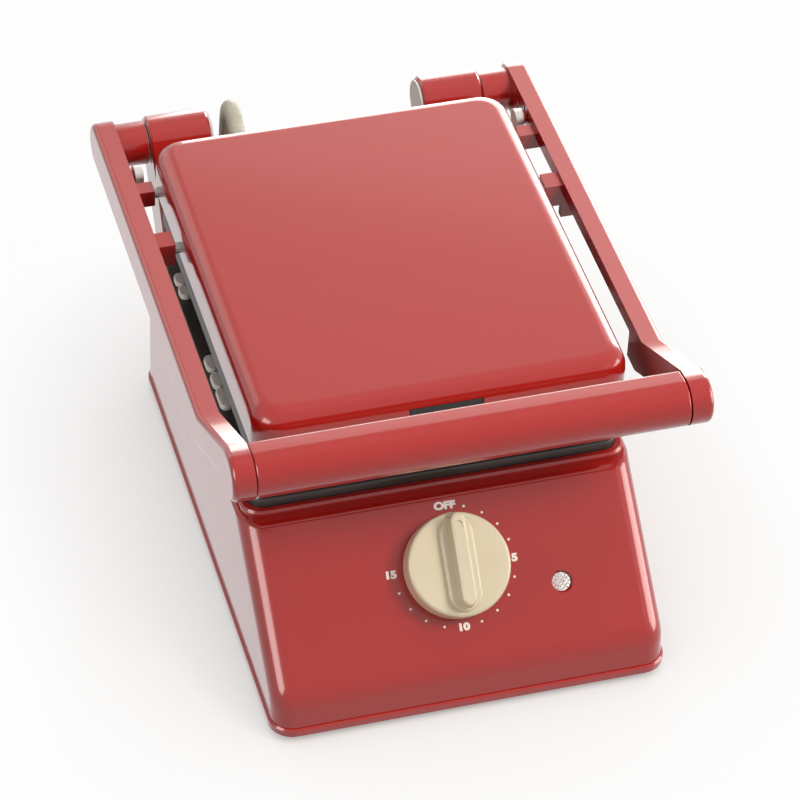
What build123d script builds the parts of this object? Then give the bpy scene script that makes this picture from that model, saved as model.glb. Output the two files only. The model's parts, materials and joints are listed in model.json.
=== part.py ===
from build123d import *
import math
import os

os.makedirs("parts", exist_ok=True)

# Countertop sandwich maker for one sandwich, closed, in millimetres.
# X is to the right, Y to the back, Z up. Places below are measured from the middle of the housing
# and from its lower edge, which stands on feet. The finished pieces are moved so that the origin is
# on the table, under the middle of the closed appliance.

# Base housing
base_width = 161.8
base_depth = 223.0
base_height = 62.5
base_wall = 2.6
base_corner_radius = 9.0
lip_width = base_width + 1.8
lip_depth = base_depth + 1.6
lip_height = 3.4
skirt_height = 17.2
panel_angle = 40.5
panel_y = 33.37 - base_depth / 2
panel_z = base_height - 18.69
skirt_round = 15.0
bead_height = 3.5
bead_side = 3.1
bead_front = 2.8
opening_half_width = base_width / 2 - 4.9
opening_front = panel_y + 28.13
opening_back = base_depth / 2 - 11.5
opening_radius = 6.0
ledge_width = 4.0
ledge_top = base_height - 4.0
ledge_thickness = 2.4
post_radius = 5.0
screw_inset_side = 10.9
screw_inset_front = 19.5
screw_inset_back = 6.0
screw_radius = 1.4
screw_clearance = 0.35
screw_head = 2.9
slot_rows = 6
slot_pitch = 11.0
slot_length = 34.0
slot_width = 3.0

# Cooking parts
rail_top = base_height + 7.5
frame_clearance = 0.3
plate_half_width = opening_half_width - 10.0
plate_front = opening_front + 8.0
plate_back = opening_back - 8.0
plate_corner = 12.0
plate_overhang = 2.4
plate_flange = 2.0
plate_rise = 11.6
plate_height = plate_rise + 3.4
plate_floor = 3.0
plate_rim = 4.0
plate_gap = 0.8
cavity_depth = 9.0
rib_pitch = 15.0
rib_width = 3.0
rib_rise = 1.6
heater_width = 7.0
heater_height = 5.6
heater_half_width = plate_half_width - 22.0
heater_half_depth = (plate_back - plate_front) / 2 - 21.0
heater_tail = heater_half_depth + 6.0
heater_bend = 14.0
upper_frame_drop = 8.8
collar_rise = 3.0
sheet = 0.8
thermostat_hole = 9.0
bumper_x = plate_half_width + 5.9
bumper_width = 5.2
bumper_height = 2.6
bumper_places = [(-7.5, 7.4), (-15.5, 7.4), (-61.0, 9.2), (-71.6, 9.2), (-82.5, 12.2)]

# Lid
lid_half_width = opening_half_width - 0.2
lid_front = opening_front - 8.0
lid_back = opening_back + 21.3
lid_bottom = rail_top + 2 * plate_rise + plate_gap + 4.6
lid_top = lid_bottom + 20.0
lid_corner_radius = 11.0
lid_edge_round = 7.4
lid_front_round = 9.0
lid_wall = 2.4
notch_width = 30.0
notch_height = 14.2
notch_depth = 3.0
pivot_y = base_depth / 2 - 7.1
pivot_z = lid_bottom + 4.8
pivot_pin_radius = 2.2
pivot_boss_half = 3.4
stop_y = pivot_y - 35.4
stop_z = lid_bottom + 4.0
stop_pin_radius = 2.2
stop_boss_length = 2 * stop_pin_radius + 4.6
post_top_wall = 2.0
lid_post_radius = 4.0
lid_post_x = lid_half_width - 17.8
float_angle = 3.0
boss_reach = 7.4
bracket_thickness = 1.2
upper_frame_half = lid_half_width - 1.2
upper_frame_front = lid_front + 3.0
upper_frame_back = lid_back - 8.3

# Rear hinge
hinge_y = base_depth / 2 + 31.7
hinge_z = lid_bottom + 0.4
ear_outer = opening_half_width - 3.5
ear_inner = ear_outer - 26.0
ear_radius = 10.8
ear_edge = 0.9
ear_root_height = 20.5
ear_root_drop = 2.0
hinge_pin_radius = 3.0
hinge_fit = 0.05
washer_thickness = 0.8
washer_radius = hinge_pin_radius + 4.5
cap_radius = ear_radius - 1.4
cap_thickness = 1.2

# Handle
handle_outer = lid_half_width + 19.2
arm_width = 9.0
arm_height = 19.0
arm_top = lid_bottom + 11.4
arm_barrel_radius = 9.2
arm_top_wall = 2.2
arm_side_wall = 2.6
arm_outer_round = 2.2
bend_y = lid_front + 19.8
rise_angle = 27.7
pocket_front = bend_y + 14.2
pocket_back = hinge_y - 14.2
rib_thickness = 3.0
rib_places = [pocket_front + step for step in (18.0, 44.0, 69.0, 114.0)]
stud_y = hinge_y - 26.7
stud_z = lid_bottom + 5.4
stud_radius = 4.3
stud_width = 3.6
stud_shank = 1.8
bar_y = lid_front - 29.6
bar_z = arm_top + 13.2
bar_radius = 10.1
bar_rear = bar_y + 7.0
bar_seam = 0.3
rod_radius = 3.0
rod_fit = 0.05
rod_socket = 5.0

# Controls
knob_radius = 20.8
knob_skirt = 10.2
knob_step_rise = 2.6
knob_step_width = 13.4
knob_grip_rise = 8.8
knob_grip_width = 8.6
knob_grip_taper = 7.0
knob_grip_front = knob_radius - 2.2
knob_grip_back = knob_radius + 0.4
knob_turn = -1.6
knob_gap = 0.6
shaft_radius = 3.0
shaft_hole = 4.6
bush_rise = 0.2
lamp_x = base_width / 2 - 38.7
lamp_drop = 12.95
lamp_hole = 4.0
lamp_edge = 0.6
lamp_lens_radius = lamp_hole - 0.25
lamp_recess = 1.2

# Feet and cable parts
foot_radius = 8.0
foot_drop = 3.4
foot_inset_side = 23.0
foot_inset = 14.0
cover_thickness = 2.4
cover_recess = 0.6
cord_hole = 6.5
cord_z = 22.0
hose_radius = 3.6
base_gland_radius = hose_radius + 2.4
lid_gland_radius = hose_radius + 1.4
hose_x = -36.0
hose_back = base_depth / 2 + 38.5
hose_turn_z = lid_bottom + 5.9
hose_crest = lid_bottom + 15.4
hose_crest_y = hose_back - 8.0
hose_drop_y = lid_back + 10.5
hose_bend = 5.0
hose_base_z = base_height - 12.5
hose_lid_z = lid_bottom + 5.8
gland_clearance = 0.3

plate_mid_y = (plate_front + plate_back) / 2
lower_plate_top = rail_top + plate_rise
upper_plate_bottom = lower_plate_top + plate_gap
upper_seat = upper_plate_bottom + plate_rise
upper_frame_bottom = upper_seat - upper_frame_drop
frame_seat = ledge_top + 1.6
cover_top = cover_recess + cover_thickness
lid_wall_inner = lid_half_width - lid_wall
deck_z = base_height
bead_top = base_height + bead_height
rise = math.tan(math.radians(rise_angle))
arm_bottom = arm_top - arm_height
arm_inner = handle_outer - arm_width
skirt_top_y = panel_y - (panel_z - skirt_height) / math.tan(math.radians(panel_angle))


def yz_face(points):
    return Plane.YZ * make_face(Polyline(*points, close=True))


def yz_prism(points, x0, x1):
    body = extrude(yz_face(points), amount=x1 - x0)
    return Pos(x0, 0, 0) * body


def rod_x(y, z, radius, x0, x1):
    body = Cylinder(radius, x1 - x0, rotation=(0, 90, 0))
    return Pos((x0 + x1) / 2, y, z) * body


def slab(half, front, back, z0, z1, radius):
    sketch = RectangleRounded(2 * half, back - front, radius)
    return Pos(0, (front + back) / 2, z0) * extrude(sketch, amount=z1 - z0)


def box(x0, x1, y0, y1, z0, z1):
    body = Box(x1 - x0, y1 - y0, z1 - z0)
    return Pos((x0 + x1) / 2, (y0 + y1) / 2, (z0 + z1) / 2) * body


def mirrored(shape):
    return shape.mirror(Plane.YZ)


def on_panel(x, along, out):
    a = math.radians(panel_angle)
    y = panel_y + along * math.cos(a) - out * math.sin(a)
    z = panel_z + along * math.sin(a) + out * math.cos(a)
    return Location((x, y, z), (panel_angle, 0, 0))


def at_height(edges, z, tol=0.05):
    level = []
    for e in edges:
        span = e.bounding_box()
        if abs(span.min.Z - z) < tol and abs(span.max.Z - z) < tol:
            level.append(e)
    return level


# A slab that follows the plate's outline, larger by a margin all round
def plate_slab(margin, z0, z1, radius):
    return slab(plate_half_width + margin, plate_front - margin, plate_back + margin, z0, z1, radius)


# The wedge profile that the housing and its cavity share, grown or shrunk by a margin
def wedge(margin, corner, bottom, cut=fillet):
    front_foot = -base_depth / 2 + margin
    back = base_depth / 2 - margin
    a = math.radians(panel_angle)
    drop = margin / math.cos(a)
    top = deck_z - margin
    top_y = panel_y + (top - panel_z + drop) / math.tan(a)
    knee_y = skirt_top_y + margin
    knee_z = panel_z + (knee_y - panel_y) * math.tan(a) - drop
    points = [(front_foot, bottom), (knee_y, knee_z), (top_y, top), (back, top), (back, bottom)]
    half = base_width / 2 - margin
    body = yz_prism(points, -half, half)
    knee = [e for e in body.edges().filter_by(Axis.X) if abs(e.center().Z - knee_z) < 0.2]
    body = fillet(knee, skirt_round - margin)
    sides = [
        e for e in body.edges()
        if abs(abs(e.center().X) - half) < 0.01 and e.center().Z > bottom + 0.1 and e.center().Z < top - 0.1
    ]
    return cut(sides, corner)


def base_ear():
    circle = Pos(hinge_y, hinge_z) * Circle(ear_radius)
    wall = base_depth / 2
    top = deck_z - ear_root_drop
    low = top - ear_root_height
    inside = wall - 7.5
    root = make_face(Polyline((inside, low + 4), (wall, low), (wall, top), (inside, top), close=True))
    outline = make_hull(circle.edges() + root.edges())
    body = extrude(Plane.YZ * outline, amount=ear_outer - ear_inner)
    body = Pos(ear_inner, 0, 0) * body
    rims = [
        e for e in body.edges()
        if abs(e.center().X - ear_inner) < 0.01 or abs(e.center().X - ear_outer) < 0.01
    ]
    return chamfer(rims, ear_edge)


def base_housing():
    body = wedge(0, base_corner_radius, 0)
    top_edges = at_height(body.edges(), deck_z)
    body = chamfer(top_edges, 1.4)
    lip = slab(lip_width / 2, -lip_depth / 2, lip_depth / 2, 0, lip_height, base_corner_radius + 1)
    lip = chamfer(at_height(lip.edges(), lip_height), 0.8)
    bead = slab(
        opening_half_width + bead_side, opening_front - bead_front, opening_back + bead_side + 1,
        deck_z - 1, bead_top, opening_radius + 2.5,
    )
    bead = chamfer(at_height(bead.edges(), bead_top), 0.9)
    ear = base_ear()
    body = body + lip + bead + ear + mirrored(ear)
    body -= wedge(base_wall, base_corner_radius - base_wall - 2, -1, chamfer)
    inner = base_wall
    body -= slab(base_width / 2 - inner, inner - base_depth / 2, base_depth / 2 - inner, -1, lip_height, 6.4)
    shelf = slab(
        opening_half_width + 2.2, opening_front - 2.2, opening_back + 2.2,
        ledge_top - ledge_thickness, deck_z - 1, opening_radius + 2,
    )
    body += shelf
    body -= slab(opening_half_width, opening_front, opening_back, ledge_top, bead_top + 1, opening_radius)
    body -= slab(
        opening_half_width - ledge_width, opening_front + ledge_width, opening_back - ledge_width,
        ledge_top - 9, ledge_top + 1, opening_radius,
    )
    pin = rod_x(hinge_y, hinge_z, hinge_pin_radius + hinge_fit, ear_inner - 1, ear_outer + 1)
    body -= pin
    body -= mirrored(pin)
    body -= on_panel(0, 0, 0) * Cylinder(shaft_hole, 20)
    body -= on_panel(lamp_x, -lamp_drop, 0) * Cylinder(lamp_hole, 20)
    flare = Pos(0, 0, -lamp_edge / 2) * Cone(lamp_hole, lamp_hole + lamp_edge, lamp_edge)
    body -= on_panel(lamp_x, -lamp_drop, 0.001) * flare
    body -= Pos(hose_x, base_depth / 2, hose_base_z) * Cylinder(base_gland_radius, 12, rotation=(90, 0, 0))
    body -= Pos(0, base_depth / 2, cord_z) * Cylinder(cord_hole, 12, rotation=(90, 0, 0))
    body += housing_posts()
    for x, y in screw_spots():
        body -= Pos(x, y, cover_top + 6) * Cylinder(screw_radius + 0.05, 14)
    return body


# The screw posts run up to the slope of the panel and to the deck, inside the walls
def housing_posts():
    room = wedge(base_wall / 2, base_corner_radius - base_wall / 2 - 2, 0, chamfer)
    posts = []
    for x, y in screw_spots():
        height = deck_z - cover_top
        posts.append(Pos(x, y, cover_top + height / 2) * Cylinder(post_radius, height) & room)
    return posts


def screw_spots():
    spots = []
    for side in (-1, 1):
        x = side * (base_width / 2 - screw_inset_side)
        spots.append((x, screw_inset_front - base_depth / 2))
        spots.append((x, base_depth / 2 - screw_inset_back))
    return spots


def bottom_cover():
    half = base_width / 2 - base_wall - frame_clearance
    back = base_depth / 2 - base_wall - frame_clearance
    body = slab(half, -back, back, cover_recess, cover_top, 6.1)
    for row in range(slot_rows):
        y = (row - (slot_rows - 1) / 2) * slot_pitch + 10
        for side in (-1, 1):
            body -= Pos(side * 26, y, 2) * Box(slot_length, slot_width, 8)
    for x, y in screw_spots():
        body -= Pos(x, y, 2) * Cylinder(screw_radius + screw_clearance, 8)
        body -= Pos(x, y, cover_recess) * Cylinder(screw_head + 0.3, 2.0)
    return body


def foot_spots():
    spots = []
    for x in (-1, 1):
        for y in (-1, 1):
            spots.append((x * (base_width / 2 - foot_inset_side), y * (base_depth / 2 - foot_inset)))
    return spots


def feet():
    pads = []
    for x, y in foot_spots():
        height = foot_drop + cover_recess
        pad = Pos(x, y, cover_recess - height / 2) * Cylinder(foot_radius, height)
        pads.append(pad)
    return Compound(pads)


def bottom_screws():
    screws = []
    for x, y in screw_spots():
        head = Pos(x, y, cover_recess + 0.2) * extrude(RegularPolygon(screw_head, 6), amount=0.8)
        shank = Pos(x, y, cover_recess + 5.6) * Cylinder(screw_radius, 10.0)
        screws.append(head + shank)
    return Compound(screws)


def lower_frame():
    c = frame_clearance
    body = slab(
        opening_half_width - c, opening_front + c, opening_back - c,
        ledge_top, rail_top, opening_radius - c,
    )
    body = fillet(at_height(body.edges(), rail_top), 1.0)
    body -= plate_slab(frame_clearance, frame_seat, rail_top + 1, plate_corner)
    body -= plate_slab(-4, ledge_top - 1, frame_seat + 1, plate_corner - 3)
    return body


def bumpers():
    pads = []
    for from_back, length in bumper_places:
        for side in (-1, 1):
            sketch = SlotOverall(length, bumper_width, rotation=90)
            place = Pos(side * bumper_x, plate_back + from_back, rail_top)
            pad = place * extrude(sketch, amount=bumper_height)
            pads.append(pad)
    return Compound(pads)


# A plate stands on its flange, with a pan for the bread on top and a hollow for the heater below
def lower_plate():
    level = lower_plate_top
    floor = level - cavity_depth
    body = plate_slab(0, level - plate_height, level, plate_corner)
    body = chamfer(at_height(body.edges(), level), 0.8)
    body += plate_slab(plate_overhang, rail_top, rail_top + plate_flange, plate_corner + 2)
    pan = plate_slab(-plate_rim, floor, level + 1, plate_corner - 3)
    pan = chamfer(at_height(pan.edges(), floor), 2.0)
    body -= pan
    body -= plate_slab(-plate_floor, level - plate_height - 1, floor - plate_floor, plate_corner - 4)
    for i in range(-3, 4):
        y = plate_mid_y + i * rib_pitch
        half = plate_half_width - 14
        body += box(-half, half, y - rib_width / 2, y + rib_width / 2, floor - 0.5, floor + rib_rise)
    return body


def upper_plate():
    body = lower_plate()
    middle = (lower_plate_top + upper_plate_bottom) / 2
    return body.mirror(Plane.XY.offset(middle))


# A flattened tube bent to a U, open towards the back
def heater(z, tail):
    x = heater_half_width
    y0 = plate_mid_y - heater_half_depth
    path = FilletPolyline((-x, tail, z), (-x, y0, z), (x, y0, z), (x, tail, z), radius=heater_bend)
    start = Plane(origin=(-x, tail, z), z_dir=(0, -1, 0))
    return sweep(start * Rectangle(heater_height, heater_width), path=path)


def lower_heater():
    return heater(lower_plate_top - cavity_depth - plate_floor - heater_height / 2 - 0.3, plate_mid_y + heater_tail)


def upper_heater():
    return heater(upper_plate_bottom + cavity_depth + plate_floor + heater_height / 2 + 0.3, plate_mid_y + heater_tail)


def lower_reflector():
    z = frame_seat
    body = plate_slab(0, z, z + sheet, plate_corner - 0.5)
    body += plate_slab(-8, z - 5.2, z + sheet, plate_corner - 4)
    body -= plate_slab(-8 - sheet, z - 5.2 + sheet, z + 2, plate_corner - 4 - sheet)
    body -= Pos(0, plate_mid_y, z - 5) * Cylinder(thermostat_hole, 6)
    return body


def upper_reflector():
    z = lid_bottom + collar_rise
    body = slab(lid_wall_inner - 3, plate_front - 3, plate_back + 7, z, z + sheet, plate_corner)
    body -= Pos(0, plate_mid_y, z) * Cylinder(thermostat_hole, 6)
    return body


def thermostat(z, up):
    body = Pos(0, plate_mid_y, z + up * 3.0) * Cylinder(8.0, 6.0)
    body += Pos(0, plate_mid_y, z + up * 8.0) * Cylinder(5.5, 4.0)
    for x in (-4.5, 4.5):
        body += Pos(x, plate_mid_y + 7, z + up * 2.6) * Box(3.0, 6.0, 0.8)
    return body


# The upper plate goes in from below and its flange seats on the step inside the frame
def upper_frame():
    top = lid_bottom - frame_clearance
    body = slab(upper_frame_half, upper_frame_front, upper_frame_back, upper_frame_bottom, top, 10)
    body = chamfer(at_height(body.edges(), upper_frame_bottom), 1.6)
    inset = lid_wall + frame_clearance
    body += slab(lid_half_width - inset, lid_front + inset + notch_depth, lid_back - inset,
                 top, lid_bottom + collar_rise, lid_corner_radius - inset)
    relief = Cylinder(lid_gland_radius + frame_clearance, 16, rotation=(90, 0, 0))
    body -= Pos(hose_x, lid_back, hose_lid_z) * relief
    body -= plate_slab(frame_clearance, upper_seat - 1, lid_bottom + collar_rise + 1, plate_corner)
    margin = plate_overhang + frame_clearance
    body -= plate_slab(margin, upper_frame_bottom - 1, upper_seat, plate_corner + 2)
    for x, y in lid_posts():
        body -= Pos(x, y, upper_frame_bottom + 8) * Cylinder(screw_radius + screw_clearance, 22)
        body -= Pos(x, y, upper_frame_bottom) * Cylinder(screw_head + 0.3, 4.0)
    return body


def lid_section(z):
    side = round_inset(lid_edge_round, z)
    front = round_inset(lid_front_round, z)
    width = 2 * (lid_half_width - side)
    y0 = lid_front + front
    y1 = lid_back - side
    sketch = RectangleRounded(width, y1 - y0, lid_corner_radius - side * 0.6)
    return Pos(0, (y0 + y1) / 2, z) * sketch


def round_inset(radius, z):
    up = z - (lid_top - radius)
    if up <= 0:
        return 0.0
    return radius - math.sqrt(max(radius * radius - up * up, 0.0))


# The front edge of the lid is rounded more than its sides and back, so the crown is lofted
def lid_levels():
    z0 = lid_top - lid_front_round
    return [z0 + lid_front_round * math.sin(math.radians(angle)) for angle in (0, 18, 34, 48, 61, 74, 90)]


def lid_cover():
    crown = loft([lid_section(z) for z in lid_levels()], ruled=True)
    z0 = lid_top - lid_front_round
    body = crown + slab(lid_half_width, lid_front, lid_back, lid_bottom, z0, lid_corner_radius)
    ceiling = lid_top - lid_wall - 1.0
    inner = slab(lid_wall_inner, lid_front + lid_wall + notch_depth, lid_back - lid_wall,
                 lid_bottom - 1, ceiling, lid_corner_radius - lid_wall)
    body -= chamfer(at_height(inner.edges(), ceiling), 2.2)
    body -= box(-notch_width / 2, notch_width / 2, lid_front - 1, lid_front + notch_depth, lid_bottom - 1,
                lid_bottom + notch_height)
    foot = lid_bottom + collar_rise
    height = lid_top - post_top_wall - foot
    for x, y in lid_posts():
        post = Pos(x, y, foot + height / 2) * Cylinder(lid_post_radius, height)
        body += post
        body -= Pos(x, y, foot + 3) * Cylinder(screw_radius + 0.05, 8.0)
    bore = rod_x(pivot_y, pivot_z, pivot_pin_radius + 0.05, lid_half_width - 6, lid_half_width + 2)
    body -= bore
    body -= mirrored(bore)
    bore = rod_x(stop_y, stop_z, stop_pin_radius + 0.05, lid_half_width - 6, lid_half_width + 2)
    body -= bore
    body -= mirrored(bore)
    body -= Pos(hose_x, lid_back, hose_lid_z) * Cylinder(lid_gland_radius, 12, rotation=(90, 0, 0))
    return body


# The posts stand on the front and back rails of the upper frame
def lid_posts():
    spots = []
    for x in (-lid_post_x, lid_post_x):
        spots.append((x, upper_frame_front + 5.2))
        spots.append((x, upper_frame_back - 9.0))
    return spots


def lid_screws():
    screws = []
    bottom = upper_frame_bottom
    length = lid_bottom + 8 - bottom - 2
    for x, y in lid_posts():
        head = Pos(x, y, bottom) * extrude(RegularPolygon(screw_head, 6), amount=2.0)
        shank = Pos(x, y, bottom + 2 + length / 2) * Cylinder(screw_radius, length)
        screws.append(head + shank)
    return Compound(screws)


def lid_pad():
    half = notch_width / 2 - frame_clearance
    z1 = lid_bottom + notch_height - frame_clearance
    return box(-half, half, lid_front + 0.4, lid_front + notch_depth, lid_bottom + 0.4, z1)


# A strip on the inside of the lid's side wall, above the two pins' seats
def lid_bracket():
    outer = lid_wall_inner - 0.05
    low = lid_bottom + collar_rise + 0.2
    return box(outer - bracket_thickness, outer, stop_y - 6.0, pivot_y + 5.0, low, low + 6.5)


def lid_pins():
    start = lid_wall_inner + 0.1
    tip = arm_inner + 2.0
    pivot = rod_x(pivot_y, pivot_z, pivot_pin_radius, start, tip)
    return Compound([pivot, rod_x(stop_y, stop_z, stop_pin_radius, start, tip)])


# A round stud on the inside of each arm, between the pivot and the rear hinge
def arm_stud():
    tip = arm_inner - boss_reach + 2.0
    body = rod_x(stud_y, stud_z, stud_radius, tip, tip + stud_width)
    return body + rod_x(stud_y, stud_z, stud_shank, tip + stud_width, arm_inner + 2.0)


# The straight band of the arm, its raised front and the round end that carries on from the grip bar
def arm_outline():
    shift = arm_height * math.tan(math.radians(rise_angle / 2))
    low_z = bar_z - bar_radius
    low_y = bend_y + shift - (low_z - arm_bottom) / rise
    top = Polyline((hinge_y, arm_top), (bend_y, arm_top), rear_corner(), (bar_y, bar_z + bar_radius))
    low = Polyline((bar_y, low_z), (low_y, low_z), (bend_y + shift, arm_bottom), (hinge_y, arm_bottom))
    back = ThreePointArc((hinge_y, arm_bottom), (hinge_y + arm_height / 2, hinge_z), (hinge_y, arm_top))
    return make_face(top + bar_front() + low + back)


def rear_corner():
    return (bar_rear, arm_top + (bend_y - bar_rear) * rise)


def bar_front():
    top = (bar_y, bar_z + bar_radius)
    bottom = (bar_y, bar_z - bar_radius)
    return ThreePointArc(top, (bar_y - bar_radius, bar_z), bottom)


def bar_outline():
    low_z = bar_z - bar_radius
    top = Line(rear_corner(), (bar_y, bar_z + bar_radius))
    back = Polyline((bar_y, low_z), (bar_rear + 2.6, low_z + 0.4), (bar_rear + 3.4, bar_z), rear_corner())
    face = make_face(top + bar_front() + back)
    corners = [v for v in face.vertices() if v.X > bar_rear + 2]
    return fillet(corners, 3.0)


def handle_arm():
    outline = arm_outline()
    body = extrude(Plane.YZ * outline, amount=arm_width)
    body = Pos(arm_inner, 0, 0) * body
    rim = [e for e in body.edges() if abs(e.center().X - handle_outer) < 0.01]
    body = fillet(rim, arm_outer_round)
    barrel = rod_x(hinge_y, hinge_z, arm_barrel_radius, ear_outer + washer_thickness, arm_inner + 1)
    body += barrel
    skirt = handle_outer - arm_side_wall
    body -= box(arm_inner - 1, skirt, pocket_front, pocket_back, arm_bottom - 8, arm_top - arm_top_wall)
    half = rib_thickness / 2
    for y in rib_places:
        body += box(arm_inner, skirt + 0.5, y - half, y + half, arm_bottom, arm_top - 0.5)
    boss_face = arm_inner - boss_reach
    half = pivot_boss_half
    body += box(boss_face, skirt + 0.5, pivot_y - half, pivot_y + half, pivot_z - 4.0, pivot_z + 3.6)
    body += box(arm_inner, skirt + 0.5, pivot_y - half, pivot_y + half, pivot_z, arm_top - 0.5)
    z0 = stop_z - 5.0
    z1 = arm_top - 1.8
    y0 = stop_y - stop_boss_length / 2
    body += box(boss_face, skirt + 0.5, y0, y0 + stop_boss_length, z0, z1)
    body += box(arm_inner, skirt + 0.5, y0, y0 + rib_thickness, arm_bottom, arm_top - 0.5)
    post = arm_inner - boss_reach + 2.0 + stud_width + 0.1
    body += rod_x(stud_y, stud_z, stud_shank + 1.2, post, skirt + 0.5)
    body += box(arm_inner, skirt + 0.5, stud_y - 1.5, stud_y + 1.5, arm_bottom, arm_top - 0.5)
    body -= rod_x(stud_y, stud_z, stud_shank + 0.05, post - 1, arm_inner + 2.2)
    body -= rod_x(pivot_y, pivot_z, pivot_pin_radius + hinge_fit, boss_face - 1, arm_inner + 2.4)
    body -= stop_slot(boss_face - 1, arm_inner + 2.4)
    body -= rod_x(hinge_y, hinge_z, hinge_pin_radius + hinge_fit, ear_outer, arm_inner + 4.2)
    body -= rod_x(bar_y, bar_z, rod_radius + rod_fit, arm_inner - 1, arm_inner + rod_socket)
    return body


# The slot lets the stop pin rise by the float angle about the pivot
def stop_slot(x0, x1):
    reach = pivot_y - stop_y
    lift = reach * math.sin(math.radians(float_angle))
    r = stop_pin_radius + 0.25
    low = rod_x(stop_y, stop_z, r, x0, x1)
    high = rod_x(stop_y + 0.05, stop_z + lift, r, x0, x1)
    middle = box(x0, x1, stop_y - r, stop_y + r, stop_z, stop_z + lift)
    return low + high + middle


def handle_bar():
    half = arm_inner - bar_seam
    body = Pos(-half, 0, 0) * extrude(Plane.YZ * bar_outline(), amount=2 * half)
    body -= rod_x(bar_y, bar_z, rod_radius + rod_fit, -half - 1, half + 1)
    return body


def tie_rod():
    return rod_x(bar_y, bar_z, rod_radius, -arm_inner - rod_socket + 0.3, arm_inner + rod_socket - 0.3)


def hinge_pin():
    return rod_x(hinge_y, hinge_z, hinge_pin_radius, ear_inner + 0.2, arm_inner + 4.0)


def hinge_washer():
    body = rod_x(hinge_y, hinge_z, washer_radius, ear_outer + 0.1, ear_outer + washer_thickness - 0.1)
    return body - rod_x(hinge_y, hinge_z, hinge_pin_radius + 0.05, ear_outer - 1, ear_outer + 2)


def hinge_cap():
    return rod_x(hinge_y, hinge_z, cap_radius, ear_inner - cap_thickness, ear_inner)


def timer_body():
    case = Pos(0, 0, -base_wall - 1.0 - 11.0) * Box(38, 32, 22)
    case = fillet(case.edges().filter_by(Axis.Z), 3.0)
    neck = Pos(0, 0, -base_wall - 0.75) * Cylinder(6.0, 1.5)
    length = base_wall + 1.5 + bush_rise
    bush = Pos(0, 0, bush_rise - length / 2) * Cylinder(shaft_hole - frame_clearance, length)
    bush -= Pos(0, 0, 0) * Cylinder(shaft_radius + 0.05, 20)
    tabs = []
    for x in (-12, -4, 4, 12):
        tabs.append(Pos(x, 0, -base_wall - 25.0) * Box(4.8, 0.8, 7.0))
    body = case + neck
    for tab in tabs:
        body += tab
    body -= Pos(0, 0, -base_wall - 6) * Cylinder(shaft_radius + 0.05, 14)
    body += bush
    return on_panel(0, 0, 0) * body


def timer_shaft():
    body = Pos(0, 0, -3.0) * Cylinder(shaft_radius, 17.0)
    body -= Pos(0, shaft_radius, 3.6) * Box(8, 1.6, 4.0)
    return on_panel(0, 0, 0) * Rot(0, 0, knob_turn) * body


def timer_knob():
    base_z = knob_gap
    top = base_z + knob_skirt
    body = Pos(0, 0, base_z) * extrude(Circle(knob_radius), amount=knob_skirt)
    body = fillet(at_height(body.edges(), top), 1.6)
    step = SlotOverall(2 * knob_radius - 4.0, knob_step_width, rotation=90)
    body += Pos(0, 0, top - 2) * extrude(step, amount=knob_step_rise + 2)
    body = chamfer(at_height(body.edges(), top + knob_step_rise), 0.8)
    middle = (knob_grip_back - knob_grip_front) / 2
    grip = SlotOverall(knob_grip_back + knob_grip_front, knob_grip_width, rotation=90)
    ridge = extrude(grip, amount=knob_grip_rise + 4, taper=knob_grip_taper)
    ridge = chamfer(at_height(ridge.edges(), knob_grip_rise + 4), 0.7)
    body += Pos(0, middle, top - 4) * ridge
    body -= Pos(0, 0, base_z - 0.1) * Cylinder(shaft_radius + 0.05, 11.8)
    body += Pos(0, shaft_radius + 0.36, base_z + 3.6) * Box(3.0, 1.2, 3.0)
    body -= Pos(0, knob_grip_back - 6.2, top + knob_grip_rise) * Cylinder(1.5, 1.0)
    return on_panel(0, 0, 0) * Rot(0, 0, knob_turn) * body


def lamp_lens():
    bottom = -base_wall - 1.5
    lens = Pos(0, 0, bottom) * extrude(Circle(lamp_lens_radius), amount=-bottom - lamp_recess)
    return on_panel(lamp_x, -lamp_drop, 0) * lens


def lamp_holder():
    top = -base_wall
    body = Pos(0, 0, top - 6.0) * Cylinder(6.4, 12.0)
    body -= Pos(0, 0, top - 0.75) * Cylinder(lamp_lens_radius + 0.05, 1.5)
    body -= Pos(0, 0, top - 4.0) * Cylinder(3.2, 6.0)
    for x in (-2.2, 2.2):
        body += Pos(x, 0, top - 14.0) * Box(0.8, 3.0, 5.0)
    return on_panel(lamp_x, -lamp_drop, 0) * body


def terminal_block():
    y = base_depth / 2 - 37.5
    body = Pos(-30, y, cover_top + 5.5) * Box(34, 16, 11)
    for i in range(3):
        body -= Pos(-40 + i * 10, y, cover_top + 10.5) * Box(5, 9, 4)
    return body


def cord_gland():
    y = base_depth / 2
    outer = Pos(0, y + 1.2, cord_z) * Cylinder(9.0, 2.4, rotation=(90, 0, 0))
    neck = Pos(0, y - 3.0, cord_z) * Cylinder(cord_hole - frame_clearance, 7.0, rotation=(90, 0, 0))
    nut = Pos(0, y - base_wall - 1.8, cord_z) * Cylinder(9.0, 3.6, rotation=(90, 0, 0))
    body = outer + neck + nut
    return body - Pos(0, y - 2, cord_z) * Cylinder(3.4, 20, rotation=(90, 0, 0))


# A flanged sleeve that lines the hole where the hose enters the housing or the lid
def hose_gland(y, z, hole):
    flange = Pos(hose_x, y + 1.0, z) * Cylinder(hole + 1.8, 2.0, rotation=(90, 0, 0))
    neck = Pos(hose_x, y - 2.0, z) * Cylinder(hole - gland_clearance, 6.0, rotation=(90, 0, 0))
    body = flange + neck
    return body - Pos(hose_x, y, z) * Cylinder(hose_radius + 0.05, 20, rotation=(90, 0, 0))


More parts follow.
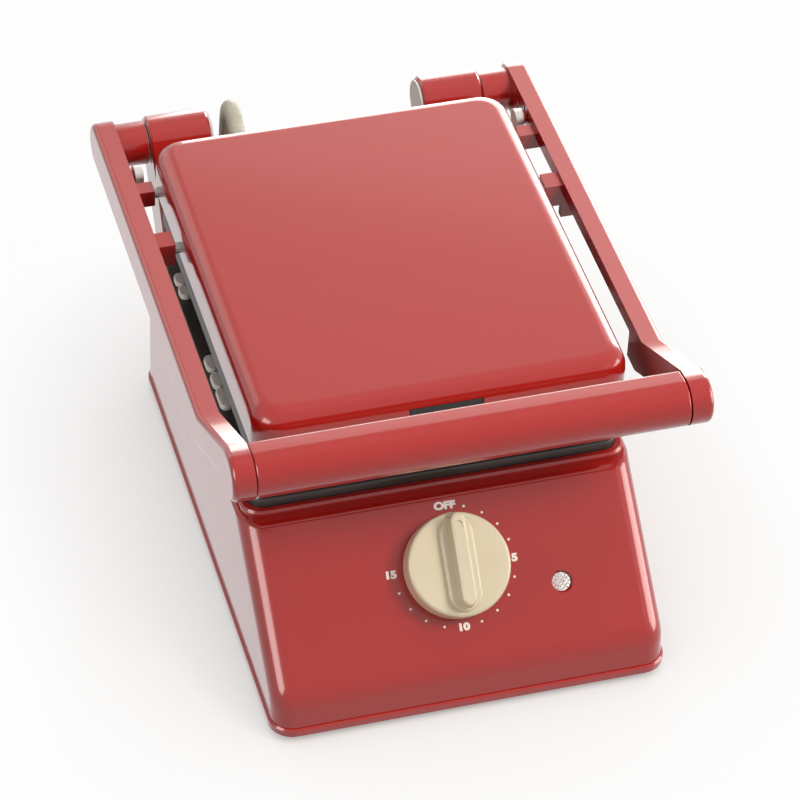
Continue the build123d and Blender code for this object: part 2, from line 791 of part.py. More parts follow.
# The hose leaves the housing, rises behind the lid, curls forward and enters its back wall
def hose():
    y0 = base_depth / 2 - 4.0
    path = FilletPolyline(
        (hose_x, y0, hose_base_z), (hose_x, hose_back, hose_base_z), (hose_x, hose_back, hose_turn_z),
        (hose_x, hose_crest_y, hose_crest), (hose_x, hose_drop_y, hose_lid_z), (hose_x, lid_back - 4, hose_lid_z),
        radius=hose_bend,
    )
    start = Plane(origin=(hose_x, y0, hose_base_z), z_dir=(0, 1, 0))
    return sweep(start * Circle(hose_radius), path=path)


# From the lip at the front to the back of the hinge ears
def middle_of_length():
    return (hinge_y + ear_radius - lip_depth / 2) / 2


def save(shape, name):
    export_step(Pos(0, -middle_of_length(), foot_drop) * shape, "parts/" + name + ".step")


def main():
    save(base_housing(), "base_housing")
    save(bottom_cover(), "bottom_cover")
    save(feet(), "feet")
    save(bottom_screws(), "bottom_screws")
    save(lower_frame(), "lower_frame")
    save(bumpers(), "rail_bumpers")
    save(lower_plate(), "lower_plate")
    save(lower_heater(), "lower_heater")
    save(lower_reflector(), "lower_reflector")
    save(thermostat(lower_plate_top - cavity_depth - plate_floor - 0.2, -1), "lower_thermostat")
    save(timer_body(), "timer_body")
    save(timer_shaft(), "timer_shaft")
    save(timer_knob(), "timer_knob")
    save(lamp_lens(), "lamp_lens")
    save(lamp_holder(), "lamp_holder")
    save(terminal_block(), "terminal_block")
    save(cord_gland(), "cord_gland")
    save(hose_gland(base_depth / 2, hose_base_z, base_gland_radius), "hose_gland_base")
    save(hose_gland(lid_back, hose_lid_z, lid_gland_radius), "hose_gland_lid")
    save(hose(), "wire_hose")
    pin = hinge_pin()
    save(pin, "hinge_pin_right")
    save(mirrored(pin), "hinge_pin_left")
    washer = hinge_washer()
    save(Compound([washer, mirrored(washer)]), "hinge_washers")
    cap = hinge_cap()
    save(Compound([cap, mirrored(cap)]), "hinge_caps")
    arm = handle_arm()
    save(arm, "handle_arm_right")
    save(mirrored(arm), "handle_arm_left")
    save(handle_bar(), "handle_bar")
    save(tie_rod(), "handle_tie_rod")
    stud = arm_stud()
    save(Compound([stud, mirrored(stud)]), "arm_studs")
    save(lid_cover(), "lid_cover")
    save(lid_pad(), "lid_pad")
    save(upper_frame(), "upper_frame")
    save(upper_plate(), "upper_plate")
    save(upper_heater(), "upper_heater")
    save(upper_reflector(), "upper_reflector")
    save(thermostat(upper_plate_bottom + cavity_depth + plate_floor + 0.2, 1), "upper_thermostat")
    save(lid_screws(), "lid_screws")
    bracket = lid_bracket()
    save(bracket, "lid_bracket_right")
    save(mirrored(bracket), "lid_bracket_left")
    pins = lid_pins()
    save(Compound(pins.solids() + mirrored(pins).solids()), "lid_pins")


main()
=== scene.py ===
import bpy, bmesh, json, math
import numpy as np
from mathutils import Matrix, Vector


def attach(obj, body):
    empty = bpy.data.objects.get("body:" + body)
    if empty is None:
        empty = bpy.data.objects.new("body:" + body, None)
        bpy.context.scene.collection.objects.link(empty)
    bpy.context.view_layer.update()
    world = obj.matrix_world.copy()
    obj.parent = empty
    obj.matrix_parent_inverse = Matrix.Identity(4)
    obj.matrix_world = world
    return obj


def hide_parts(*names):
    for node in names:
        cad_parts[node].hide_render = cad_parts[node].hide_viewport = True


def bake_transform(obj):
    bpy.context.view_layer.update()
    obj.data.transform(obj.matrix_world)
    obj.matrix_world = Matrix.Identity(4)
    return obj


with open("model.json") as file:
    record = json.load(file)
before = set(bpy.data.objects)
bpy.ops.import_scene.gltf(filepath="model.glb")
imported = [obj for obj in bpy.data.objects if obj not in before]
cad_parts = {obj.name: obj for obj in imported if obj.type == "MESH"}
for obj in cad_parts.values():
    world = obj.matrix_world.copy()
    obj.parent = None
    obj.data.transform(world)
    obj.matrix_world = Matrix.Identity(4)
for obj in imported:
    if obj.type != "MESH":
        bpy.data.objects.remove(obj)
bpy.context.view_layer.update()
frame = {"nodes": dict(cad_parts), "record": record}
nodes = frame["nodes"]
print("stage: frame loaded,", len(nodes), "nodes")


# camera: the photograph's view, worked out from straight edges of the appliance
cameraView = {
    "azimuth": -17.5, "elevation": 42.74, "roll": 2.61,
    "target": (-0.00179, -0.01688, 0.05105), "distance": 1.6123,
    "focalPixels": 3945.9, "principal": (393.8, 423.1), "frameSize": 800,
    "sensor": 36.0, "farthest": 20,
}


# the camera's axes come from azimuth, elevation and roll, and its lens is the focal length in pixels times the
# sensor's width over the frame's size
def placeCamera(view):
    a, e, roll = (math.radians(view[k]) for k in ("azimuth", "elevation", "roll"))
    back = Vector((math.sin(a) * math.cos(e), -math.cos(a) * math.cos(e), math.sin(e)))
    level = (-back).cross(Vector((0, 0, 1))).normalized()
    rise = level.cross(-back)
    right = level * math.cos(roll) + rise * math.sin(roll)
    up = rise * math.cos(roll) - level * math.sin(roll)
    data = bpy.data.cameras.new("photoCamera")
    data.sensor_width = view["sensor"]
    data.lens = view["focalPixels"] / view["frameSize"] * data.sensor_width
    data.shift_x = (view["frameSize"] / 2 - view["principal"][0]) / view["frameSize"]
    data.shift_y = (view["principal"][1] - view["frameSize"] / 2) / view["frameSize"]
    data.clip_end = view["farthest"]
    camera = bpy.data.objects.new("photoCamera", data)
    place = Matrix((right, up, back)).transposed().to_4x4()
    place.translation = Vector(view["target"]) + back * view["distance"]
    camera.matrix_world = place
    bpy.context.scene.collection.objects.link(camera)
    bpy.context.scene.camera = camera


placeCamera(cameraView)
print("stage: camera placed")


# materials: each look is a colour that wanders a little, an uneven roughness and a fine bump
looks = {
    "redGloss": {"color": (0.36, 0.008, 0.004), "second": (0.33, 0.006, 0.003), "roughness": (0.30, 0.38),
                 "patch": 18, "grain": 900, "bump": 0.012, "coat": 1.0, "coatRoughness": 0.12, "specular": 0.25},
    "redGrip": {"color": (0.36, 0.008, 0.004), "second": (0.33, 0.006, 0.003), "roughness": (0.32, 0.42),
                "patch": 22, "grain": 1100, "bump": 0.015, "coat": 0.9, "coatRoughness": 0.15, "specular": 0.25},
    "darkResin": {"color": (0.030, 0.026, 0.024), "second": (0.048, 0.042, 0.038), "roughness": (0.38, 0.50),
                  "patch": 60, "grain": 1800, "bump": 0.03},
    "blackMatt": {"color": (0.020, 0.019, 0.018), "second": (0.030, 0.028, 0.027), "roughness": (0.55, 0.7),
                  "patch": 60, "grain": 1500, "bump": 0.05},
    "paleRubber": {"color": (0.88, 0.87, 0.85), "second": (0.84, 0.83, 0.81), "roughness": (0.5, 0.62),
                   "patch": 160, "grain": 2600, "bump": 0.06},
    "coatedPlate": {"color": (0.024, 0.023, 0.023), "second": (0.036, 0.034, 0.034), "roughness": (0.30, 0.42),
                    "patch": 90, "grain": 2400, "bump": 0.05, "coat": 0.2},
    "dullSteel": {"color": (0.42, 0.41, 0.39), "second": (0.34, 0.33, 0.31), "roughness": (0.28, 0.42),
                  "patch": 120, "grain": 2200, "bump": 0.04, "metal": 1.0},
    "paleSteel": {"color": (0.66, 0.64, 0.60), "second": (0.58, 0.56, 0.52), "roughness": (0.34, 0.46),
                  "patch": 120, "grain": 2200, "bump": 0.04, "metal": 0.55},
    "brightSheet": {"color": (0.72, 0.72, 0.71), "second": (0.62, 0.62, 0.62), "roughness": (0.16, 0.26),
                    "patch": 50, "grain": 1600, "bump": 0.03, "metal": 1.0},
    "ivoryKnob": {"color": (0.70, 0.64, 0.47), "second": (0.66, 0.60, 0.43), "roughness": (0.30, 0.40),
                  "patch": 70, "grain": 2600, "bump": 0.03, "coat": 0.25, "coatRoughness": 0.25},
    "greyCap": {"color": (0.58, 0.57, 0.55), "second": (0.52, 0.51, 0.49), "roughness": (0.42, 0.55),
                "patch": 110, "grain": 2200, "bump": 0.04},
    "whitePrint": {"color": (0.90, 0.88, 0.84), "second": (0.84, 0.82, 0.78), "roughness": (0.4, 0.5),
                   "patch": 300, "grain": 3000, "bump": 0.02, "coat": 0.3, "coatRoughness": 0.2},
    "clearLens": {"color": (0.80, 0.78, 0.77), "second": (0.74, 0.72, 0.71), "roughness": (0.12, 0.2),
                  "patch": 300, "grain": 3000, "bump": 0.01, "coat": 0.6, "coatRoughness": 0.08, "metal": 0.6},
    "sleeve": {"color": (0.46, 0.46, 0.38), "second": (0.34, 0.34, 0.27), "roughness": (0.45, 0.6),
               "patch": 240, "grain": 2600, "bump": 0.08},
}
# what a look has when it says nothing else: noise detail, depth of the bump in metres, and the shader's own values
lookCommon = {
    "patchDetail": 4, "grainDetail": 2, "bumpDistance": 0.001, "metal": 0.0, "specular": 0.5,
    "coat": 0.0, "coatRoughness": 0.3, "coatIor": 1.5,
}


# one link between two sockets, each given by its name or number
def link(tree, fromNode, fromSocket, toNode, toSocket):
    tree.links.new(fromNode.outputs[fromSocket], toNode.inputs[toSocket])


# colour and roughness go from their first value to their second with one coarse noise, and a finer noise is the
# height of the bump
def makeLook(name, look):
    look = lookCommon | look
    material = bpy.data.materials.new(name)
    material.use_nodes = True
    tree = material.node_tree
    shader = tree.nodes["Principled BSDF"]
    place = tree.nodes.new("ShaderNodeTexCoord")
    patches = tree.nodes.new("ShaderNodeTexNoise")
    patches.inputs["Scale"].default_value = look["patch"]
    patches.inputs["Detail"].default_value = look["patchDetail"]
    link(tree, place, "Object", patches, "Vector")
    tint = tree.nodes.new("ShaderNodeMix")
    tint.data_type = "RGBA"
    tint.inputs["A"].default_value = look["color"] + (1,)
    tint.inputs["B"].default_value = look["second"] + (1,)
    link(tree, patches, "Fac", tint, "Factor")
    link(tree, tint, "Result", shader, "Base Color")
    spread = tree.nodes.new("ShaderNodeMapRange")
    spread.inputs["To Min"].default_value = look["roughness"][0]
    spread.inputs["To Max"].default_value = look["roughness"][1]
    link(tree, patches, "Fac", spread, "Value")
    link(tree, spread, "Result", shader, "Roughness")
    grain = tree.nodes.new("ShaderNodeTexNoise")
    grain.inputs["Scale"].default_value = look["grain"]
    grain.inputs["Detail"].default_value = look["grainDetail"]
    link(tree, place, "Object", grain, "Vector")
    bump = tree.nodes.new("ShaderNodeBump")
    bump.inputs["Strength"].default_value = look["bump"]
    bump.inputs["Distance"].default_value = look["bumpDistance"]
    link(tree, grain, "Fac", bump, "Height")
    link(tree, bump, "Normal", shader, "Normal")
    shader.inputs["Metallic"].default_value = look["metal"]
    shader.inputs["Specular IOR Level"].default_value = look["specular"]
    shader.inputs["Coat Weight"].default_value = look["coat"]
    shader.inputs["Coat Roughness"].default_value = look["coatRoughness"]
    shader.inputs["Coat IOR"].default_value = look["coatIor"]
    return material


materials = {name: makeLook(name, look) for name, look in looks.items()}
print("stage:", len(materials), "materials made")


# every CAD node's look and the width of its edge rounding, in metres
nodeLooks = {
    "base_housing": ("redGloss", 0.0003), "lid_cover": ("redGloss", 0),
    "handle_arm_right": ("redGloss", 0.0004), "handle_arm_left": ("redGloss", 0.0004),
    "handle_bar": ("redGrip", 0.0008), "bottom_cover": ("blackMatt", 0.0002),
    "feet": ("blackMatt", 0.0003), "bottom_screws": ("dullSteel", 0),
    "lower_frame": ("darkResin", 0.0003), "rail_bumpers": ("paleRubber", 0.0006),
    "lower_plate": ("coatedPlate", 0.0003), "lower_heater": ("dullSteel", 0),
    "lower_reflector": ("brightSheet", 0), "lower_thermostat": ("blackMatt", 0),
    "timer_body": ("blackMatt", 0), "timer_shaft": ("dullSteel", 0), "timer_knob": ("ivoryKnob", 0.0002),
    "lamp_holder": ("blackMatt", 0), "terminal_block": ("ivoryKnob", 0), "cord_gland": ("blackMatt", 0.0003),
    "hose_gland_base": ("blackMatt", 0.0003), "hose_gland_lid": ("blackMatt", 0.0003),
    "hinge_pin_right": ("dullSteel", 0), "hinge_pin_left": ("dullSteel", 0),
    "hinge_washers": ("dullSteel", 0.0001), "hinge_caps": ("greyCap", 0.0003),
    "handle_tie_rod": ("dullSteel", 0), "arm_studs": ("paleSteel", 0.0002),
    "lid_pad": ("blackMatt", 0.0003), "upper_frame": ("darkResin", 0.0003),
    "upper_plate": ("coatedPlate", 0.0003), "upper_heater": ("dullSteel", 0),
    "upper_reflector": ("brightSheet", 0), "upper_thermostat": ("blackMatt", 0), "lid_screws": ("dullSteel", 0),
    "lid_bracket_right": ("dullSteel", 0.0002), "lid_bracket_left": ("dullSteel", 0.0002),
    "lid_pins": ("dullSteel", 0.0002),
}
# hidden pieces keep their CAD mesh and only get a material
hiddenNodes = (
    "lower_heater", "upper_heater", "lower_thermostat", "upper_thermostat", "timer_body", "lamp_holder",
    "terminal_block", "handle_tie_rod", "hinge_pin_right", "hinge_pin_left", "timer_shaft")
# limits of the finish: weld distance in metres, angles in degrees for flat joins, sharp edges and rounded edges,
# and the number of segments of a rounded edge
finish = {"weld": 1e-6, "flat": 0.4, "sharp": 32, "rounded": 35, "segments": 2}
bodyOf = {n: b for b, members in frame["record"]["behaviour"]["bodies"].items() for n in members}


# handle arms: boxes (x0, x1, y0, y1, z0, z1) that shorten the ribs, and boxes of the low wall on the lid's side
armEdge = {
    "names": {"handle_arm_right": 1, "handle_arm_left": -1},
    "shorten": [(0.085, 0.09237, -0.04475, 0.04345, 0.0930, 0.1069),
                (0.085, 0.09237, 0.05285, 0.07995, 0.0930, 0.1069),
                (0.085, 0.09237, 0.08715, 0.10805, 0.0930, 0.1043)],
    "wall": [(0.08602, 0.0874, -0.0453, 0.0438, 0.1069, 0.1124), (0.08602, 0.0874, 0.0525, 0.0803, 0.1069, 0.1124),
             (0.08602, 0.0874, 0.0868, 0.0926, 0.1069, 0.1124), (0.08602, 0.0874, 0.0987, 0.1087, 0.1069, 0.1124)],
}


# boxes on one side of the middle plane, side 1 right and side -1 left
def boxesObject(name, boxes, side):
    shape = bmesh.new()
    for x0, x1, y0, y1, z0, z1 in boxes:
        place = Matrix.Translation((side * (x0 + x1) / 2, (y0 + y1) / 2, (z0 + z1) / 2))
        bmesh.ops.create_cube(shape, size=1.0, matrix=place @ Matrix.Diagonal((x1 - x0, y1 - y0, z1 - z0, 1)))
    mesh = bpy.data.meshes.new(name)
    shape.to_mesh(mesh)
    shape.free()
    piece = bpy.data.objects.new(name, mesh)
    bpy.context.scene.collection.objects.link(piece)
    return piece


# the arm less the shortening boxes and with the wall boxes, as one closed mesh
def reshapeArm(mesh, side, armEdge):
    body = bpy.data.objects.new("armBody", mesh)
    bpy.context.scene.collection.objects.link(body)
    helpers = [boxesObject("armShorten", armEdge["shorten"], side), boxesObject("armWall", armEdge["wall"], side)]
    for helper, operation in zip(helpers, ("DIFFERENCE", "UNION")):
        cut = body.modifiers.new(operation, "BOOLEAN")
        cut.operation = operation
        cut.object = helper
        cut.solver = "EXACT"
    bpy.context.view_layer.update()
    shaped = bpy.data.meshes.new_from_object(body.evaluated_get(bpy.context.evaluated_depsgraph_get()))
    for piece in helpers:
        left = piece.data
        bpy.data.objects.remove(piece)
        bpy.data.meshes.remove(left)
    bpy.data.objects.remove(body)
    bpy.data.meshes.remove(mesh)
    print("arm reshaped:", len(shaped.vertices), "vertices")
    return shaped


# a copy of the node's triangles is welded at its shared corners and loses the edges inside flat faces, so that
# rounds shade as one surface
def finishNode(name, look, bevel):
    source = nodes[name]
    mesh = source.data.copy()
    shape = bmesh.new()
    shape.from_mesh(mesh)
    bmesh.ops.remove_doubles(shape, verts=shape.verts, dist=finish["weld"])
    flat = math.radians(finish["flat"])
    bmesh.ops.dissolve_limit(shape, angle_limit=flat, verts=shape.verts, edges=shape.edges)
    shape.to_mesh(mesh)
    shape.free()
    if name in armEdge["names"]:
        mesh = reshapeArm(mesh, armEdge["names"][name], armEdge)
    mesh.name = name + "_finished"
    piece = bpy.data.objects.new(name + "_finished", mesh)
    bpy.context.scene.collection.objects.link(piece)
    mesh.materials.clear()
    mesh.materials.append(materials[look])
    mesh.shade_smooth()
    if bevel:
        edge = piece.modifiers.new("edgeRound", "BEVEL")
        edge.width = bevel
        edge.segments = finish["segments"]
        edge.limit_method = "ANGLE"
        edge.angle_limit = math.radians(finish["rounded"])
        edge.use_clamp_overlap = True
    mesh.set_sharp_from_angle(angle=math.radians(finish["sharp"]))
    weigh = piece.modifiers.new("flatFaces", "WEIGHTED_NORMAL")
    weigh.keep_sharp = True
    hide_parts(name)
    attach(piece, bodyOf[name])


for name, (look, bevel) in nodeLooks.items():
    if name in hiddenNodes:
        nodes[name].data.materials.clear()
        nodes[name].data.materials.append(materials[look])
    else:
        finishNode(name, look, bevel)
print("stage: CAD nodes finished")


# a grid of points, rings by places round a ring, becomes quads: each ring closes on itself, and the first and
# last rings are capped
def gridMesh(name, points, look):
    rows, cols = points.shape[:2]
    here = np.arange(rows * cols).reshape(rows, cols)
    beside = np.roll(here, -1, axis=1)
    faces = np.stack([here[:-1], beside[:-1], beside[1:], here[1:]], axis=-1).reshape(-1, 4).tolist()
    faces += [here[0][::-1].tolist(), here[-1].tolist()]
    mesh = bpy.data.meshes.new(name)
    mesh.from_pydata(points.reshape(-1, 3).tolist(), [], faces)
    mesh.materials.append(materials[look])
    mesh.shade_smooth()
    piece = bpy.data.objects.new(name, mesh)
    bpy.context.scene.collection.objects.link(piece)
    return piece


# the sloping panel's own axes: x across, along up the slope, out of the face
panel = {"point": (0.0, -0.09898, 0.04721), "angle": 40.5}


# a place on the panel, turned about the panel's own outward axis
def panelMatrix(x, along, out, turn=0.0):
    a = math.radians(panel["angle"])
    base = Matrix.Translation(panel["point"]) @ Matrix.Rotation(a, 4, "X")
    return base @ Matrix.Translation((x, along, out)) @ Matrix.Rotation(turn, 4, "Z")


# dial marks: the ring's half sizes, each word's angle and reach, sizes of letters and dots, in metres and degrees
dial = {
    "across": 0.02483, "along": 0.0243, "drop": 0.0002, "turn": 1.65,
    "words": {"OFF": (0, 1.0), "5": (90, 1.0), "10": (180, 1.0), "15": (270, 1.045)},
    "step": 18, "last": 270, "quarter": 90, "dotRadius": 0.00052, "dotSides": 16,
    "textSize": 0.0043, "textShape": (1.14, 0.94), "bold": 0.00026, "thick": 0.00003, "lift": 0.00004,
}


# a mark's place on the ring round the knob, the whole ring turned a little and set a little lower
def dialPlace(dial, degrees, reach=1.0):
    a = math.radians(degrees + dial["turn"])
    along = reach * dial["along"] * math.cos(a) + dial["drop"]
    return panelMatrix(reach * dial["across"] * math.sin(a), along, dial["lift"], -math.radians(dial["turn"]))


# dots and words stand on a ring round the knob, clockwise from the top; a dot is a flat disc
def makeDial(dial):
    shape = bmesh.new()
    for word, (degrees, reach) in dial["words"].items():
        data = bpy.data.curves.new("dialWord", "FONT")
        data.body = word
        data.size = dial["textSize"]
        data.align_x = "CENTER"
        data.align_y = "CENTER"
        data.offset = dial["bold"]
        data.extrude = dial["thick"]
        holder = bpy.data.objects.new("dialWord", data)
        bpy.context.scene.collection.objects.link(holder)
        bpy.context.view_layer.update()
        mesh = bpy.data.meshes.new_from_object(holder.evaluated_get(bpy.context.evaluated_depsgraph_get()))
        mesh.transform(dialPlace(dial, degrees, reach) @ Matrix.Diagonal(dial["textShape"] + (1, 1)))
        shape.from_mesh(mesh)
        bpy.data.objects.remove(holder)
        bpy.data.meshes.remove(mesh)
    for degrees in range(dial["step"], dial["last"], dial["step"]):
        if degrees % dial["quarter"] == 0:
            continue
        place = dialPlace(dial, degrees)
        bmesh.ops.create_cone(shape, cap_ends=True, segments=dial["dotSides"], radius1=dial["dotRadius"],
                              radius2=dial["dotRadius"], depth=2 * dial["thick"], matrix=place)
    mesh = bpy.data.meshes.new("dial_marks")
    shape.to_mesh(mesh)
    shape.free()
    mesh.materials.append(materials["whitePrint"])
    piece = bpy.data.objects.new("dial_marks", mesh)
    bpy.context.scene.collection.objects.link(piece)
    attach(piece, "base")


makeDial(dial)
print("stage: dial marks made")


# lamp lens: its place on the panel, and a top that two crossing sets of grooves cut into small four-sided points,
# in metres and degrees
lens = {"x": 0.0422, "along": -0.01295, "radius": 0.00375, "top": -0.0012, "bottom": -0.0040, "pitch": 0.0018,
        "relief": 0.0008, "rings": 44, "sectors": 144, "edge": 0.00015, "centre": 0.00002, "sharp": 20}


# the height falls from each point with the distance from the middle of its strip between two grooves, added up
# over both diagonal directions
def makeLens(lens):
    turn = np.linspace(0, 2 * np.pi, lens["sectors"], endpoint=False)
    reach = np.linspace(lens["centre"], lens["radius"] - lens["edge"], lens["rings"])
    across = reach[:, None] * np.cos(turn)
    along = reach[:, None] * np.sin(turn)
    wave = sum(np.abs(((across + side * along) / lens["pitch"]) % 1.0 - 0.5) for side in (1, -1))
    out = lens["top"] - lens["relief"] * wave
    rim = np.array([[lens["radius"], lens["top"] - lens["edge"]], [lens["radius"], lens["bottom"]],
                    [lens["centre"], lens["bottom"]]])
    across = np.vstack([across, rim[:, :1] * np.cos(turn)])
    along = np.vstack([along, rim[:, :1] * np.sin(turn)])
    out = np.vstack([out, np.repeat(rim[:, 1:], lens["sectors"], axis=1)])
    points = np.stack([across, along, out], axis=-1)
    piece = gridMesh("lens_cut", points, "clearLens")
    piece.data.transform(panelMatrix(lens["x"], lens["along"], 0.0))
    piece.data.set_sharp_from_angle(angle=math.radians(lens["sharp"]))
    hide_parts("lamp_lens")
    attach(piece, "base")


makeLens(lens)
print("stage: lens made")


# hose: points of the route in the part's source, in metres, control points of one smooth spline; fixedBelow and
# carriedAbove are two points on its rising stretch, one below the other, and lay is a strand's pitch in diameters
hose = {
    "x": -0.036, "diameter": 0.0072,
    "route": [(0.08665, 0.0534), (0.12915, 0.0534), (0.12915, 0.1079), (0.12115, 0.1156), (0.11095, 0.1078),
              (0.09645, 0.1078)],
    "start": (-0.036, 0.08665, 0.0534),
    "fixedBelow": (-0.036, 0.129, 0.062), "carriedAbove": (-0.036, 0.129, 0.102),
    "smooth": 48, "rings": 220, "sides": 32, "strands": 12, "lay": 2.2, "relief": 0.00022, "keepEvery": 4,
}


# the smooth line through the route's control points, as a row of points
def splinePoints(hose):
    data = bpy.data.curves.new("hoseLine", "CURVE")
    data.dimensions = "3D"
    spline = data.splines.new("NURBS")
    spline.points.add(len(hose["route"]) - 1)
    for point, (y, z) in zip(spline.points, hose["route"]):
        point.co = (hose["x"], y, z, 1)
    spline.order_u = 3
    spline.use_endpoint_u = True
    spline.resolution_u = hose["smooth"]
    holder = bpy.data.objects.new("hoseLine", data)
    bpy.context.scene.collection.objects.link(holder)
    bpy.context.view_layer.update()
    mesh = bpy.data.meshes.new_from_object(holder.evaluated_get(bpy.context.evaluated_depsgraph_get()))
    line = np.array([v.co for v in mesh.vertices])
    bpy.data.objects.remove(holder)
    bpy.data.meshes.remove(mesh)
    return line


# the tube's radius dips where the product of two cosines, one for each hand of helical strands, is low, like a
# woven sleeve
def makeHose(hose):
    line = splinePoints(hose)
    walked = np.concatenate([[0], np.cumsum(np.linalg.norm(np.diff(line, axis=0), axis=1))])
    steps = np.linspace(0, walked[-1], hose["rings"])
    path = np.stack([np.interp(steps, walked, line[:, k]) for k in range(3)], axis=1)
    ahead = np.gradient(path, axis=0)
    ahead /= np.linalg.norm(ahead, axis=1)[:, None]
    side = np.tile([1.0, 0.0, 0.0], (len(path), 1))
    up = np.cross(side, ahead)
    turn = np.linspace(0, 2 * np.pi, hose["sides"], endpoint=False)
    pitch = 2 * np.pi * steps / (hose["diameter"] * hose["lay"])
    one = np.cos(hose["strands"] / 2 * (turn[None, :] + pitch[:, None] / 2))
    two = np.cos(hose["strands"] / 2 * (turn[None, :] - pitch[:, None] / 2))
    radius = hose["diameter"] / 2 - hose["relief"] * (1 - one * two) / 2
    points = path[:, None] + radius[..., None] * (
        np.cos(turn)[None, :, None] * side[:, None] + np.sin(turn)[None, :, None] * up[:, None])
    piece = gridMesh("hose_sleeve", points, "sleeve")
    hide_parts("wire_hose")
    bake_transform(piece)
    print("hose length", round(float(walked[-1]), 4))


makeHose(hose)
print("stage: hose made")


# studio: a pale floor that reads white to the camera but keeps a soft shadow, partly the lamps' own shadow on the
# lit floor and partly painted shade from ambient occlusion close to the object, soft lamps that only light, and
# cards that only show in the gloss
studio = {
    # nearShade and nearReach set a painted shade on the floor: how much of the lit floor shows where the object is
    # close, and how far that reaches
    "floorSize": 6.0, "floorColor": (0.50, 0.41, 0.34), "shadowShare": 0.03, "nearShade": 0.75, "nearReach": 0.09,
    "nearSamples": 8, "worldColor": (0.97, 0.92, 0.88), "worldStrength": 0.33,
    "lamps": {
        "topSoft": {"place": (0.45, 0.10, 1.7), "aim": (0, 0, 0.08), "size": (1.0, 1.0), "radiance": 4.0,
                    "color": (1.0, 0.95, 0.91), "soft": True},
        "keyRight": {"place": (0.95, -0.85, 1.35), "aim": (0, 0, 0.05), "size": (0.55, 0.55), "radiance": 21.0,
                     "color": (1.0, 0.95, 0.89), "soft": True},
        "rearCard": {"place": (0.27, 0.44, 0.165), "aim": (0.03, 0.03, 0.10), "size": (0.58, 0.33), "radiance": 6.0,
                     "color": (1.0, 0.97, 0.93)},
        "rearHigh": {"place": (0.30, 0.66, 0.53), "aim": (0, 0.05, 0.10), "size": (0.60, 0.25), "radiance": 0.6,
                     "color": (1.0, 0.94, 0.86)},
        "rearLeft": {"place": (-0.40, 0.62, 0.42), "aim": (0, 0.05, 0.10), "size": (0.45, 0.40), "radiance": 1.0,
                     "color": (1.0, 0.90, 0.78)},
        "rightStrip": {"place": (0.74, -0.24, 0.23), "aim": (0, -0.08, 0.06), "size": (0.42, 0.42), "radiance": 7.0,
                       "color": (1.0, 0.97, 0.93)},
        "leftStrip": {"place": (-0.68, -0.36, 0.43), "aim": (0, -0.08, 0.06), "size": (0.34, 0.45), "radiance": 6.5,
                      "color": (1.0, 0.96, 0.92)},
        "leftSoft": {"place": (-1.2, -0.35, 0.95), "aim": (0, 0, 0.06), "size": (0.7, 0.7), "radiance": 3.5,
                     "color": (1.0, 0.93, 0.87), "soft": True},
    },
}
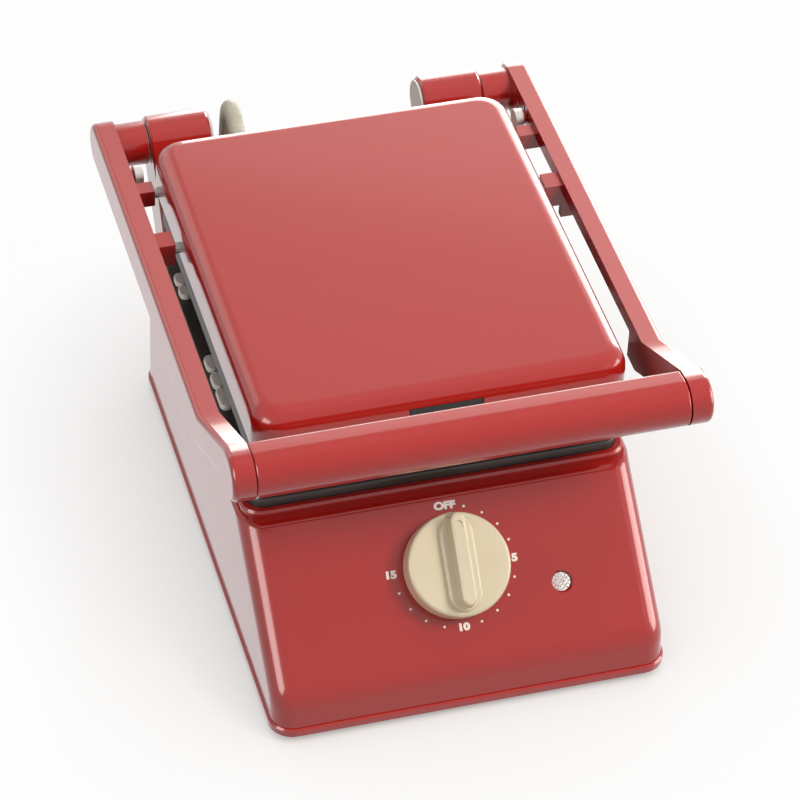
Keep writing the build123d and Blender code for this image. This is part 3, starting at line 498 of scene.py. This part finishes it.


# camera rays see white over a share of the lit surface, and more of it close to the object, where ambient occlusion
# paints a shade; mirror rays see white, and all others see the lit surface
def whiteToRays(tree, shaderOutput, litNode, studio, near):
    rays = tree.nodes.new("ShaderNodeLightPath")
    white = tree.nodes.new("ShaderNodeEmission")
    seen = tree.nodes.new("ShaderNodeMixShader")
    seen.inputs["Fac"].default_value = 0.0
    # painted shade: the ambient occlusion node lets places close to the object show more of the darker lit floor
    # and less white, whatever the lamps do
    if near:
        shade = tree.nodes.new("ShaderNodeAmbientOcclusion")
        shade.samples = studio["nearSamples"]
        shade.inputs["Distance"].default_value = studio["nearReach"]
        share = tree.nodes.new("ShaderNodeMapRange")
        share.inputs["From Min"].default_value = 1.0
        share.inputs["From Max"].default_value = 0.0
        share.inputs["To Min"].default_value = studio["shadowShare"]
        share.inputs["To Max"].default_value = studio["nearShade"]
        link(tree, shade, "AO", share, "Value")
        link(tree, share, "Result", seen, "Fac")
    link(tree, white, "Emission", seen, 1)
    link(tree, litNode, 0, seen, 2)
    mirror = tree.nodes.new("ShaderNodeMath")
    mirror.operation = "MAXIMUM"
    link(tree, rays, "Is Glossy Ray", mirror, 0)
    link(tree, rays, "Is Transmission Ray", mirror, 1)
    first = tree.nodes.new("ShaderNodeMixShader")
    link(tree, mirror, 0, first, "Fac")
    link(tree, litNode, 0, first, 1)
    link(tree, white, "Emission", first, 2)
    last = tree.nodes.new("ShaderNodeMixShader")
    link(tree, rays, "Is Camera Ray", last, "Fac")
    link(tree, first, 0, last, 1)
    link(tree, seen, 0, last, 2)
    link(tree, last, 0, shaderOutput, "Surface")


# an area lamp's power is its radiance times pi times its area
def makeStudio(studio):
    half = studio["floorSize"] / 2
    mesh = bpy.data.meshes.new("floor")
    mesh.from_pydata([(-half, -half, 0), (half, -half, 0), (half, half, 0), (-half, half, 0)], [], [(0, 1, 2, 3)])
    floor = bpy.data.objects.new("floor", mesh)
    bpy.context.scene.collection.objects.link(floor)
    paint = bpy.data.materials.new("floorPaint")
    paint.use_nodes = True
    tree = paint.node_tree
    tree.nodes.remove(tree.nodes["Principled BSDF"])
    lit = tree.nodes.new("ShaderNodeBsdfDiffuse")
    lit.inputs["Color"].default_value = studio["floorColor"] + (1,)
    whiteToRays(tree, tree.nodes["Material Output"], lit, studio, near=True)
    mesh.materials.append(paint)
    world = bpy.data.worlds.new("studioWorld")
    bpy.context.scene.world = world
    world.use_nodes = True
    tree = world.node_tree
    tree.nodes.remove(tree.nodes["Background"])
    sky = tree.nodes.new("ShaderNodeBackground")
    sky.inputs["Color"].default_value = studio["worldColor"] + (1,)
    sky.inputs["Strength"].default_value = studio["worldStrength"]
    whiteToRays(tree, tree.nodes["World Output"], sky, studio, near=False)
    for name, lamp in studio["lamps"].items():
        data = bpy.data.lights.new(name, "AREA")
        data.shape = "RECTANGLE"
        data.size, data.size_y = lamp["size"]
        data.energy = lamp["radiance"] * math.pi * lamp["size"][0] * lamp["size"][1]
        data.color = lamp["color"]
        holder = bpy.data.objects.new(name, data)
        place = Vector(lamp["place"])
        aim = Vector(lamp["aim"]) - place
        holder.matrix_world = Matrix.Translation(place) @ aim.to_track_quat("-Z", "Y").to_matrix().to_4x4()
        holder.visible_camera = False
        holder.visible_glossy = "soft" not in lamp
        holder.visible_diffuse = "soft" in lamp
        bpy.context.scene.collection.objects.link(holder)


makeStudio(studio)
bpy.context.scene.view_settings.view_transform = "Standard"
print("stage: studio made")
